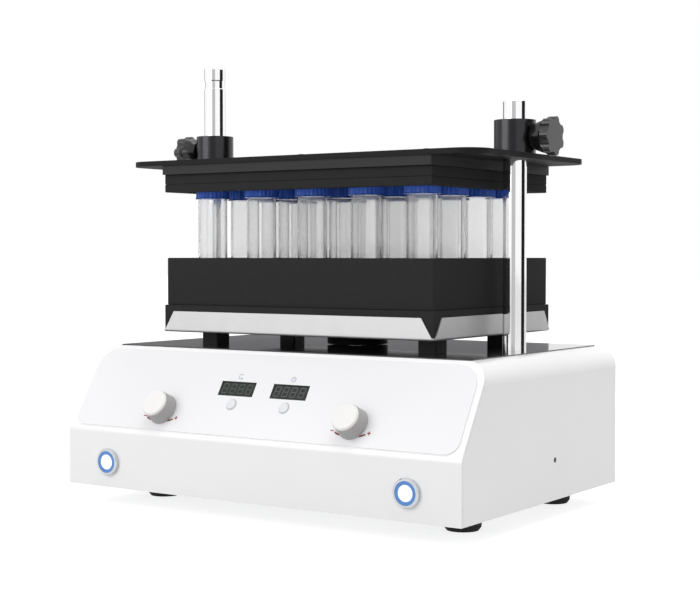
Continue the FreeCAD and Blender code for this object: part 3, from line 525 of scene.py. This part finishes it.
class MIXER_OT_tubes(bpy.types.Operator):
    """Make the screw-cap tubes in their rows, as thin-walled tubes with ribbed caps"""
    bl_idname = "mixer.tubes"
    bl_label = "Tubes and Caps"

    def execute(self, context):
        sizes = context.scene.mixer_tubes
        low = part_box("front_tubes")[0]
        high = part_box("rear_tubes")[1]
        cap_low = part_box("front_caps")[0]
        cap_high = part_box("rear_caps")[1]
        x, y = (low.x + high.x) / 2, (low.y + high.y) / 2
        rows = {"Columns": sizes.columns, "Rows": sizes.rows, "Column Pitch": sizes.column_pitch * MM,
                "Row Pitch": sizes.row_pitch * MM}
        tall = (high.z - low.z) / MM
        outer = sizes.radius
        inner = outer - sizes.wall
        # The wall runs up outside from the blunt tip of the cone, over the mouth and down inside.
        wall = [(0, 0), (3.2, 0), (outer - 0.6, 13.4), (outer, 15), (outer, tall), (inner, tall),
                (inner, 15.6), (outer - 1.6, 14), (3, 2), (0, 2)]
        # Moulded polypropylene: translucent, milky at a glance, with bright edges.
        clear = finish("polypropylene_tube", "#FDFDFD", 0.06, second="#FAFAFA", patch=25, grain=3.0,
                       depth=0.002, Transmission_Weight=0.92, IOR=1.33)
        # Painted shade: where the wall is seen edge on, its colour goes grey, standing in for the darker
        # look of the thick wall there.
        tree = clear.node_tree
        shader = next(node for node in tree.nodes if node.type == "BSDF_PRINCIPLED")
        clouded = shader.inputs["Base Color"].links[0].from_socket
        edge_on = add(tree, "ShaderNodeLayerWeight", {"Blend": 0.5}).outputs["Facing"]
        steep = add(tree, "ShaderNodeMath", {0: edge_on, 1: 3.0}, operation="POWER")
        greyed = add(tree, "ShaderNodeMix", {0: steep.outputs[0], 6: clouded, 7: linear(sizes.painted_edge_shade)},
                     data_type="RGBA")
        tree.links.new(greyed.outputs[2], shader.inputs["Base Color"])
        mesh = mesh_from("one_tube", lambda bm: turned(bm, wall))
        tubes = new_object("clear_tubes", mesh)
        bake(tubes, rows_of_copies(), {**rows, "Centre": (x, y, low.z), "Finish": clear})
        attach(tubes, "tray")
        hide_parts("front_tubes", "rear_tubes")
        # Moulded polyethylene caps: strong blue, waxy sheen.
        blue = finish("polyethylene_cap", sizes.cap_colour, 0.3, second="#2A5AC2", patch=8, grain=0.5,
                      depth=0.003)
        cap = new_object("ribbed_caps", bpy.data.meshes.new("ribbed_caps"))
        flare = 0.6 * MM
        radius = (cap_high.x - cap_low.x) / 2 - (sizes.columns - 1) / 2 * sizes.column_pitch * MM + flare
        bake(cap, grip_ribs(), {"Ribs": sizes.ribs, "Radius": radius, "Top Radius": radius,
                                "Height": cap_high.z - cap_low.z, "Depth": sizes.rib_depth * MM,
                                "Edge": 0.9 * MM, "Finish": blue})
        bake(cap, rows_of_copies(), {**rows, "Centre": (x, y, cap_low.z), "Finish": blue})
        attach(cap, "tray")
        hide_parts("front_caps", "rear_caps")
        return {"FINISHED"}


class MIXER_OT_knobs(bpy.types.Operator):
    """Make the lobed hubs behind the two clamp knobs"""
    bl_idname = "mixer.knobs"
    bl_label = "Knob Hubs"

    lobes: IntProperty(name="Lobes", description="Lobes round a knob", default=7)
    swell: FloatProperty(name="Swell", description="Depth of the lobes as a share of the radius",
                         default=0.07)

    def execute(self, context):
        # Polished black phenolic, as the knobs.
        gloss = finish("phenolic_hub", "#141415", 0.22, second="#111112", patch=10, grain=0.5, depth=0.002)
        steps = self.lobes * 12
        # The hub widens from the collar to the knob: (distance along it, radius), in mm.
        rings = [(0.5, 11.6), (1.2, 12.4), (8.6, 15.2), (12.5, 16.4)]
        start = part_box("rod_collars")[1].x
        axis_y = sum(corner.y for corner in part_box("left_rod")) / 2
        for side, name in ((-1, "left_clamp"), (1, "right_clamp")):
            axis_z = sum(corner.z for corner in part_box(name)) / 2

            def hub(bm):
                loops = []
                for along, radius in rings:
                    loop = []
                    for k in range(steps):
                        a = 2 * math.pi * k / steps
                        r = radius * MM * (1 - self.swell * (1 + math.cos(self.lobes * a)) / 2)
                        loop.append(bm.verts.new((side * (start + along * MM), axis_y + r * math.cos(a),
                                                  axis_z + r * math.sin(a))))
                    loops.append(loop)
                for first, second in zip(loops, loops[1:]):
                    for k in range(steps):
                        n = (k + 1) % steps
                        bm.faces.new((first[k], first[n], second[n], second[k]))
                for loop in (loops[0], loops[-1]):
                    bm.faces.new(loop)

            made = new_object(f"{name}_hub", mesh_from(f"{name}_hub", hub, 50), gloss)
            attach(made, name)
        return {"FINISHED"}


class MIXER_OT_dials(bpy.types.Operator):
    """Make the knurled skirts of the two dials"""
    bl_idname = "mixer.dials"
    bl_label = "Dial Knurls"

    def execute(self, context):
        sizes = context.scene.mixer_panel
        # Grey ABS grip, finely knurled.
        grey = finish("knurled_grey_abs", "#B3B1B1", 0.45, second="#AAA8A8", patch=4, grain=0.3, depth=0.003)
        tree = grip_ribs()
        for side in ("left", "right"):
            x = middle_x(f"{side}_dial")
            skirt = new_object(f"{side}_dial_knurl", bpy.data.meshes.new(f"{side}_dial_knurl"))
            bake(skirt, tree, {"Ribs": sizes.knurls, "Radius": sizes.grip_radius * MM,
                               "Top Radius": sizes.grip_top * MM, "Height": sizes.grip_height * MM,
                               "Depth": sizes.knurl_depth * MM, "Edge": 0.3 * MM, "Finish": grey})
            skirt.data.transform(CONTROL @ Matrix.Translation((x * MM, DIAL_UP * MM, sizes.grip_out * MM)))
            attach(skirt, f"{side}_dial")
        return {"FINISHED"}


def strokes(bm, lines, width, layer):
    """Straight strokes on the control face, in mm, each from one (x, y) point to another."""
    for (x0, y0), (x1, y1) in lines:
        along = Vector((x1 - x0, y1 - y0, 0)).normalized() * (width / 2)
        across = Vector((-along.y, along.x, 0))
        a, b = Vector((x0, y0, 0)) - along, Vector((x1, y1, 0)) + along
        corners = [a - across, b - across, b + across, a + across]
        plate(bm, [(c.x, c.y) for c in corners], *layer, CONTROL)


def arc(x, y, r, start, end, steps):
    """The straight strokes that follow an arc, its angles in degrees."""
    turns = [math.radians(start + (end - start) * k / steps) for k in range(steps + 1)]
    points = [(x + r * math.cos(a), y + r * math.sin(a)) for a in turns]
    return list(zip(points, points[1:]))


class MIXER_OT_marks(bpy.types.Operator):
    """Make the digits on the displays and the printed marks round the dials"""
    bl_idname = "mixer.marks"
    bl_label = "Digits and Marks"

    def digits(self, bm, x, sizes):
        """The seven bars of each digit, leaning a little as such displays do."""
        h, w = sizes.digit_h / 2, sizes.digit_w / 2
        gap = 0.6
        bars = [((-w + gap, level), (w - gap, level)) for level in (h, 0, -h)]
        for side in (-w, w):
            bars += [((side, gap), (side, h - gap)), ((side, gap - h), (side, -gap))]
        lean = math.tan(math.radians(7))
        for k in range(sizes.digits):
            start = x + (k - (sizes.digits - 1) / 2) * sizes.digit_pitch
            lines = [tuple((start + px + py * lean, DISPLAY_UP + py) for px, py in bar) for bar in bars]
            strokes(bm, lines, 1.1, BARS)

    def rim(self, bm, x):
        """The painted shadow at the edge of a display's window, widest at the top and left where the recess
        shades it.
        """
        w, h = 20.3, 7.4
        wide, narrow = 1.3, 0.7
        for x0, y0, x1, y1 in ((-w, -h, wide - w, h), (-w, h - wide, w, h),
                               (w - narrow, -h, w, h), (-w, -h, w, narrow - h)):
            corners = ((x0, y0), (x1, y0), (x1, y1), (x0, y1))
            plate(bm, [(x + px, DISPLAY_UP + py) for px, py in corners], *RECESS_SHADE, CONTROL)

    def turn_marks(self, bm, x):
        """A bent stroke and a sign each side of a dial: less on the left, more on the right."""
        rise, radius, spread, half_turn = 22, 34.9, 22.7, 4
        sign_out, sign_down, sign_half = 19.5, 7.6, 1.2
        for side in (-1, 1):
            middle = -90 + side * spread
            strokes(bm, arc(x, DIAL_UP + rise, radius, middle - half_turn, middle + half_turn, 5), 1.6, INK)
            cx, cy = x + side * sign_out, DIAL_UP - sign_down
            lines = [((cx - sign_half, cy), (cx + sign_half, cy))]
            if side > 0:
                lines.append(((cx, cy - sign_half), (cx, cy + sign_half)))
            strokes(bm, lines, 1.1, INK)

    def symbols(self, bm, left, right):
        """An open ring with an arrow head for speed, and a clock face for time."""
        y, radius = DISPLAY_UP + 13, 2.5
        ring = arc(left, y, radius, 40, 320, 14)
        tip = ring[-1][1]
        ring += [(tip, (tip[0] - 1.9, tip[1] + 0.2)), (tip, (tip[0] + 0.1, tip[1] - 1.9))]
        clock = arc(right, y, radius, 0, 360, 16)
        clock += [((right, y), (right, y + 1.6)), ((right, y), (right + 1.2, y))]
        strokes(bm, ring + clock, 0.6, SYMBOL_INK)

    def execute(self, context):
        sizes = context.scene.mixer_panel
        windows = [middle_x("left_button"), middle_x("right_button")]
        # Unlit bars behind the smoked window, a little paler than it; the left set has a green cast.
        for name, x, colour, other in (("left_digits", windows[0], "#48554A", "#434F45"),
                                       ("right_digits", windows[1], "#585A58", "#525452")):
            bars = finish(f"{name}_bars", colour, 0.4, second=other, patch=4, grain=0.5, depth=0.001,
                          Specular_IOR_Level=0.2)
            made = new_object(name, mesh_from(name, lambda bm: self.digits(bm, x, sizes), 0), bars)
            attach(made, "base")
        # Painted shadow round each window: a matt black band that stands in for the shade of the window's
        # recess.
        recess_shade = finish("painted_recess_shade", "#1B1C1B", 0.6, second="#161716", patch=4, grain=0.4, depth=0.002,
                        Specular_IOR_Level=0.2)

        def rims(bm):
            for x in windows:
                self.rim(bm, x)

        made = new_object("display_rims", mesh_from("display_rims", rims, 0), recess_shade)
        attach(made, "base")
        # Screen printed ink, a few hundredths of a millimetre thick.
        ink = finish("red_print", sizes.mark_colour, 0.5, second="#9C4844", patch=3, grain=0.3, depth=0.001)
        for side in ("left", "right"):
            name = f"{side}_dial_marks"
            x = middle_x(f"{side}_dial")
            made = new_object(name, mesh_from(name, lambda bm: self.turn_marks(bm, x), 0), ink)
            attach(made, "base")
        pale = finish("pale_blue_print", sizes.symbol_colour, 0.5, second="#A0B4CC", patch=3, grain=0.3,
                      depth=0.001)
        # Moulded collars round the two small buttons, coloured a shade greyer than the film as painted shade
        # round the buttons.
        shade = finish("painted_button_shade", "#CFD0D3", 0.4, second="#C8C9CC", patch=3, grain=0.3, depth=0.001)
        for side in ("left", "right"):
            name = f"{side}_button"
            place = CONTROL @ Matrix.Translation((middle_x(name) * MM, BUTTON_UP * MM, 0))

            def collar(bm):
                # Straight inside, rounded down to the film outside.
                bore, rim, foot = 4.95, 5.9, 0.7
                turned(bm, [(bore, foot), (bore, 1.3), (5.5, 1.2), (rim, 0.82), (rim, foot), (bore, foot)],
                       40, place)

            made = new_object(f"{name}_collar", mesh_from(f"{name}_collar", collar), shade)
            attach(made, "base")
        made = new_object("display_symbols",
                          mesh_from("display_symbols", lambda bm: self.symbols(bm, *windows), 0), pale)
        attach(made, "base")
        return {"FINISHED"}


class MIXER_OT_screws(bpy.types.Operator):
    """Make the socket screws of the pressure plate"""
    bl_idname = "mixer.screws"
    bl_label = "Plate Screws"

    def execute(self, context):
        low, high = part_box("plate_screws")
        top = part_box("top_plate")[1].z
        head = (high.z - top) / MM
        head_r, shank_r, shank_l, socket_r, socket_t = 4, 2, 8, 1.45, 1.3
        # Blacked alloy steel button head, satin, with a broached socket.
        steel = finish("blacked_screw", "#38383B", 0.32, 0.8, second="#2C2C2F", patch=2, grain=0.2,
                       depth=0.001)

        def one(bm):
            turned(bm, [(0, -shank_l), (shank_r, -shank_l), (shank_r, 0), (head_r, 0),
                        (head_r, head * 0.35), (3.4, head * 0.8), (2.6, head), (socket_r, head),
                        (socket_r, head - socket_t), (0, head - socket_t)], 24)

        screws = new_object("socket_screws", mesh_from("socket_screws", one))
        spread = high - low - Vector((1, 1, 0)) * 2 * head_r * MM
        centre = (low + high) / 2
        bake(screws, rows_of_copies(), {"Columns": 3, "Rows": 2, "Column Pitch": spread.x / 2,
                                        "Row Pitch": spread.y, "Centre": (centre.x, centre.y, top),
                                        "Finish": steel})
        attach(screws, "pressure_plate")
        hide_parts("plate_screws")
        return {"FINISHED"}


def seen_by(tree, *kinds):
    """A level that is 1 for rays of the named kinds and 0 for all others."""
    rays = add(tree, "ShaderNodeLightPath").outputs
    level = rays[f"Is {kinds[0]} Ray"]
    for kind in kinds[1:]:
        level = add(tree, "ShaderNodeMath", {0: level, 1: rays[f"Is {kind} Ray"]},
                    operation="MAXIMUM").outputs[0]
    return level


class MIXER_OT_stage(bpy.types.Operator):
    """Make the floor, the soft lights and the camera"""
    bl_idname = "mixer.stage"
    bl_label = "Studio and Camera"

    def execute(self, context):
        levels = context.scene.mixer_stage
        scene = context.scene
        # The floor glows to the camera and less so in mirrors, and still takes the object's shadow.
        floor = bpy.data.materials.new("pale_floor")
        tree = emptied(floor)
        seen = add(tree, "ShaderNodeMath", {0: seen_by(tree, "Camera", "Transmission"), 1: levels.floor},
                   operation="MULTIPLY")
        level = add(tree, "ShaderNodeMath", {0: seen_by(tree, "Glossy"), 1: levels.floor_mirrored,
                                             2: seen.outputs[0]}, operation="MULTIPLY_ADD")
        matt = add(tree, "ShaderNodeBsdfDiffuse", {"Color": linear("#C6C6C6")})
        glow = add(tree, "ShaderNodeEmission", {"Color": (1, 1, 1, 1), "Strength": level.outputs[0]})
        both = add(tree, "ShaderNodeAddShader", {0: matt.outputs[0], 1: glow.outputs[0]})
        add(tree, "ShaderNodeOutputMaterial", {"Surface": both.outputs[0]})

        half_width = 12

        def square(bm):
            bmesh.ops.create_grid(bm, x_segments=1, y_segments=1, size=half_width)

        ground = new_object("studio_floor", mesh_from("studio_floor", square, 0), floor)

        # The sky lights the object at a plain level, and is white where it is seen, also in glass or metal.
        world = bpy.data.worlds.new("studio")
        scene.world = world
        tree = emptied(world)
        level = add(tree, "ShaderNodeMapRange", {"Value": seen_by(tree, "Camera", "Glossy", "Transmission"),
                                                 "To Min": levels.world, "To Max": 1.0})
        sky = add(tree, "ShaderNodeBackground", {"Color": (1, 1, 1, 1), "Strength": level.outputs[0]})
        add(tree, "ShaderNodeOutputWorld", {"Surface": sky.outputs[0]})

        # Upright cards, seen only in reflections, draw the dark and grey lines in the chrome.
        for name, tone, start, end, tall in (
                ("right_flag", "#202020", (1.416, 1.391), (1.989, 0.212), 0.75),
                ("front_card", "#C0C0C2", (0.131, -1.899), (1.26, -1.564), 0.75),
                ("rear_flag", "#7A7A7C", (-0.718, 1.9), (-1.92, 0.55), 0.8)):
            coat = bpy.data.materials.new(name)
            tree = emptied(coat)
            card = add(tree, "ShaderNodeEmission", {"Color": linear(tone), "Strength": 1.0})
            add(tree, "ShaderNodeOutputMaterial", {"Surface": card.outputs[0]})

            def wall(bm):
                corners = [(*start, 0), (*end, 0), (*end, tall), (*start, tall)]
                bm.faces.new([bm.verts.new(corner) for corner in corners])

            flag = new_object(name, mesh_from(name, wall, 0), coat)
            for kind in ("camera", "diffuse", "transmission", "shadow"):
                setattr(flag, f"visible_{kind}", False)

        target = Vector((0, 0, 0.2))
        for name, watts, place in (("key_softbox", levels.key, (-1.0, -2.0, 1.15)),
                                   ("top_softbox", levels.top, (0.45, 0.25, 2.2))):
            lamp = bpy.data.lights.new(name, "AREA")
            lamp.energy = watts
            lamp.size = 1.6
            held = bpy.data.objects.new(name, lamp)
            held.location = place
            aim = target - Vector(place)
            held.rotation_euler = aim.to_track_quat("-Z", "Y").to_euler()
            scene.collection.objects.link(held)

        lens = bpy.data.cameras.new("camera")
        lens.sensor_width = 36
        lens.lens = 76.9
        lens.clip_start, lens.clip_end = 0.05, 50
        camera = bpy.data.objects.new("camera", lens)
        camera.location = (0.84099, -1.23258, 0.24797)
        camera.rotation_euler = (math.radians(90 - 1.771), 0, math.radians(34.034))
        scene.collection.objects.link(camera)
        scene.camera = camera
        scene.view_settings.view_transform = "Standard"
        return {"FINISHED"}


class MIXER_PT_panel(bpy.types.Panel):
    """The mixer's settings and the pieces that it makes"""
    bl_idname = "MIXER_PT_panel"
    bl_label = "Vortex Mixer"
    bl_space_type = "VIEW_3D"
    bl_region_type = "UI"
    bl_category = "Mixer"

    def draw(self, context):
        for group in (context.scene.mixer_tubes, context.scene.mixer_panel, context.scene.mixer_stage):
            box = self.layout.box()
            for name in group.__annotations__:
                box.prop(group, name)
        for operator in OPERATORS:
            self.layout.operator(operator.bl_idname)


OPERATORS = (MIXER_OT_housing, MIXER_OT_foam, MIXER_OT_tubes, MIXER_OT_knobs, MIXER_OT_dials, MIXER_OT_marks,
             MIXER_OT_screws, MIXER_OT_stage)
CLASSES = (TubeSettings, PanelSettings, StageSettings, *OPERATORS, MIXER_PT_panel)


def register():
    for each in CLASSES:
        bpy.utils.register_class(each)
    bpy.types.Scene.mixer_tubes = PointerProperty(type=TubeSettings)
    bpy.types.Scene.mixer_panel = PointerProperty(type=PanelSettings)
    bpy.types.Scene.mixer_stage = PointerProperty(type=StageSettings)


def unregister():
    del bpy.types.Scene.mixer_stage
    del bpy.types.Scene.mixer_panel
    del bpy.types.Scene.mixer_tubes
    for each in reversed(CLASSES):
        bpy.utils.unregister_class(each)


def main():
    register()
    bpy.ops.mixer.housing()
    bpy.ops.mixer.foam()
    bpy.ops.mixer.tubes()
    bpy.ops.mixer.knobs()
    bpy.ops.mixer.dials()
    bpy.ops.mixer.marks()
    bpy.ops.mixer.screws()
    bpy.ops.mixer.stage()


if __name__ == "__main__":
    main()
